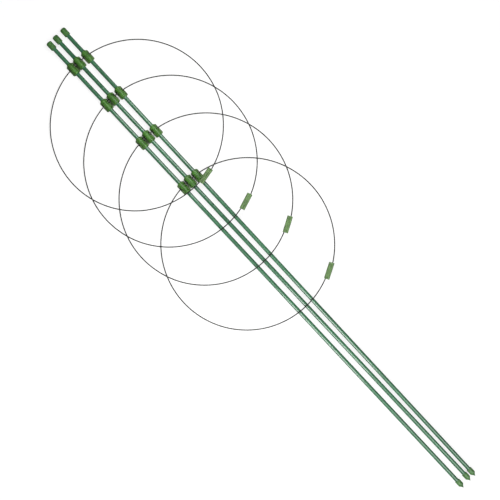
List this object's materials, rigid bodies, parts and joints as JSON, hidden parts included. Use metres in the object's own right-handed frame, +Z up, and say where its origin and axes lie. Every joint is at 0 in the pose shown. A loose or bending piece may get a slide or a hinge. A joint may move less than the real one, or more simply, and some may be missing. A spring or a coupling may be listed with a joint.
{
  "type": "climbing plant support",
  "caption": "Folding support for climbing plants: coated stakes with caps and ground tips, joined by wire rings that slide and fold on clips.",
  "frame": {"origin": "centre of the support's box on the surface below it, as it lies folded on its clips", "axes": "+X along the stakes from the caps to the ground tips, +Y across them to the side of the rings' sleeves, +Z up from the surface, square to the folded rings and stakes"},
  "size_m": [1.2013, 0.3443, 0.0281],
  "materials": {
    "bare_steel": "drawn",
    "stake_coating": "satin",
    "cap_plastic": "satin",
    "tip_plastic": "satin",
    "clip_plastic": "satin",
    "ring_wire": "satin",
    "sleeve_plastic": "satin"
  },
  "bodies": {
    "middle_stake": {"middle_stake_tube": "bare_steel", "middle_stake_coating": "stake_coating", "middle_stake_cap": "cap_plastic", "middle_ground_tip": "tip_plastic"},
    "left_stake": {"left_stake_tube": "bare_steel", "left_stake_coating": "stake_coating", "left_stake_cap": "cap_plastic", "left_ground_tip": "tip_plastic"},
    "right_stake": {"right_stake_tube": "bare_steel", "right_stake_coating": "stake_coating", "right_stake_cap": "cap_plastic", "right_ground_tip": "tip_plastic"},
    "clip_1_middle": {"clip_1_middle": "clip_plastic"},
    "clip_1_left": {"clip_1_left": "clip_plastic"},
    "clip_1_right": {"clip_1_right": "clip_plastic"},
    "ring_1": {"ring_1": "ring_wire"},
    "ring_1_sleeve": {"ring_1_sleeve": "sleeve_plastic"},
    "clip_2_middle": {"clip_2_middle": "clip_plastic"},
    "clip_2_left": {"clip_2_left": "clip_plastic"},
    "clip_2_right": {"clip_2_right": "clip_plastic"},
    "ring_2": {"ring_2": "ring_wire"},
    "ring_2_sleeve": {"ring_2_sleeve": "sleeve_plastic"},
    "clip_3_middle": {"clip_3_middle": "clip_plastic"},
    "clip_3_left": {"clip_3_left": "clip_plastic"},
    "clip_3_right": {"clip_3_right": "clip_plastic"},
    "ring_3": {"ring_3": "ring_wire"},
    "ring_3_sleeve": {"ring_3_sleeve": "sleeve_plastic"},
    "clip_4_middle": {"clip_4_middle": "clip_plastic"},
    "clip_4_left": {"clip_4_left": "clip_plastic"},
    "clip_4_right": {"clip_4_right": "clip_plastic"},
    "ring_4": {"ring_4": "ring_wire"},
    "ring_4_sleeve": {"ring_4_sleeve": "sleeve_plastic"}
  },
  "joints": [
    {"name": "left_stake_slide", "type": "slide", "parent": "middle_stake", "child": "left_stake", "axis": [1, -0.0004, 0], "range_m": [-0.6, 0.02]},
    {"name": "right_stake_slide", "type": "slide", "parent": "middle_stake", "child": "right_stake", "axis": [1, -0.005, 0], "range_m": [-0.6, 0.02]},
    {"name": "ring_1_height", "type": "slide", "parent": "middle_stake", "child": "clip_1_middle", "axis": [1, 0.0013, 0], "range_m": [-0.02, 0.0355]},
    {"name": "clip_1_left_height", "type": "slide", "parent": "middle_stake", "child": "clip_1_left", "axis": [1, -0.0004, 0], "range_m": [-0.02002, 0.03553]},
    {"name": "clip_1_right_height", "type": "slide", "parent": "middle_stake", "child": "clip_1_right", "axis": [1, -0.005, 0], "range_m": [-0.02002, 0.03553]},
    {"name": "ring_1_fold", "type": "hinge", "parent": "clip_1_middle", "child": "ring_1", "pos_m": [-0.5315, 0, 0.0028], "axis": [0, -1, 0], "range_deg": [0, 86.21]},
    {"name": "ring_1_sleeve_slide", "type": "hinge", "parent": "ring_1", "child": "ring_1_sleeve", "pos_m": [-0.36137, 0, 0.01406], "axis": [-0.066, 0, 0.9978], "range_deg": [0, 10]},
    {"name": "ring_2_height", "type": "slide", "parent": "middle_stake", "child": "clip_2_middle", "axis": [1, 0.0013, 0], "range_m": [-0.0355, 0.038]},
    {"name": "clip_2_left_height", "type": "slide", "parent": "middle_stake", "child": "clip_2_left", "axis": [1, -0.0004, 0], "range_m": [-0.03553, 0.03804]},
    {"name": "clip_2_right_height", "type": "slide", "parent": "middle_stake", "child": "clip_2_right", "axis": [1, -0.005, 0], "range_m": [-0.03553, 0.03804]},
    {"name": "ring_2_fold", "type": "hinge", "parent": "clip_2_middle", "child": "ring_2", "pos_m": [-0.4346, 0, 0.0028], "axis": [0, -1, 0], "range_deg": [0, 86.66]},
    {"name": "ring_2_sleeve_slide", "type": "hinge", "parent": "ring_2", "child": "ring_2_sleeve", "pos_m": [-0.26439, 0, 0.01273], "axis": [-0.0583, 0, 0.9983], "range_deg": [0, 10]},
    {"name": "ring_3_height", "type": "slide", "parent": "middle_stake", "child": "clip_3_middle", "axis": [1, 0.0013, 0], "range_m": [-0.038, 0.047]},
    {"name": "clip_3_left_height", "type": "slide", "parent": "middle_stake", "child": "clip_3_left", "axis": [1, -0.0004, 0], "range_m": [-0.03804, 0.04705]},
    {"name": "clip_3_right_height", "type": "slide", "parent": "middle_stake", "child": "clip_3_right", "axis": [1, -0.005, 0], "range_m": [-0.03804, 0.04705]},
    {"name": "ring_3_fold", "type": "hinge", "parent": "clip_3_middle", "child": "ring_3", "pos_m": [-0.3324, 0, 0.0028], "axis": [0, -1, 0], "range_deg": [0, 87.11]},
    {"name": "ring_3_sleeve_slide", "type": "hinge", "parent": "ring_3", "child": "ring_3_sleeve", "pos_m": [-0.16212, 0, 0.01141], "axis": [-0.0505, 0, 0.9987], "range_deg": [0, 10]},
    {"name": "ring_4_height", "type": "slide", "parent": "middle_stake", "child": "clip_4_middle", "axis": [1, 0.0013, 0], "range_m": [-0.047, 0.17]},
    {"name": "clip_4_left_height", "type": "slide", "parent": "middle_stake", "child": "clip_4_left", "axis": [1, -0.0004, 0], "range_m": [-0.04705, 0.17017]},
    {"name": "clip_4_right_height", "type": "slide", "parent": "middle_stake", "child": "clip_4_right", "axis": [1, -0.005, 0], "range_m": [-0.04705, 0.17017]},
    {"name": "ring_4_fold", "type": "hinge", "parent": "clip_4_middle", "child": "ring_4", "pos_m": [-0.2116, 0, 0.0028], "axis": [0, -1, 0], "range_deg": [0, 87.55]},
    {"name": "ring_4_sleeve_slide", "type": "hinge", "parent": "ring_4", "child": "ring_4_sleeve", "pos_m": [-0.04126, 0, 0.01008], "axis": [-0.0427, 0, 0.9991], "range_deg": [0, 10]}
  ],
  "couplings": [
    {"joint": "clip_1_left_height", "follows": "ring_1_height", "ratio": 1},
    {"joint": "clip_1_right_height", "follows": "ring_1_height", "ratio": 1},
    {"joint": "clip_2_left_height", "follows": "ring_2_height", "ratio": 1},
    {"joint": "clip_2_right_height", "follows": "ring_2_height", "ratio": 1},
    {"joint": "ring_2_fold", "follows": "ring_1_fold", "ratio": 1.0052},
    {"joint": "clip_3_left_height", "follows": "ring_3_height", "ratio": 1},
    {"joint": "clip_3_right_height", "follows": "ring_3_height", "ratio": 1},
    {"joint": "ring_3_fold", "follows": "ring_1_fold", "ratio": 1.0103},
    {"joint": "clip_4_left_height", "follows": "ring_4_height", "ratio": 1},
    {"joint": "clip_4_right_height", "follows": "ring_4_height", "ratio": 1},
    {"joint": "ring_4_fold", "follows": "ring_1_fold", "ratio": 1.0155}
  ]
}
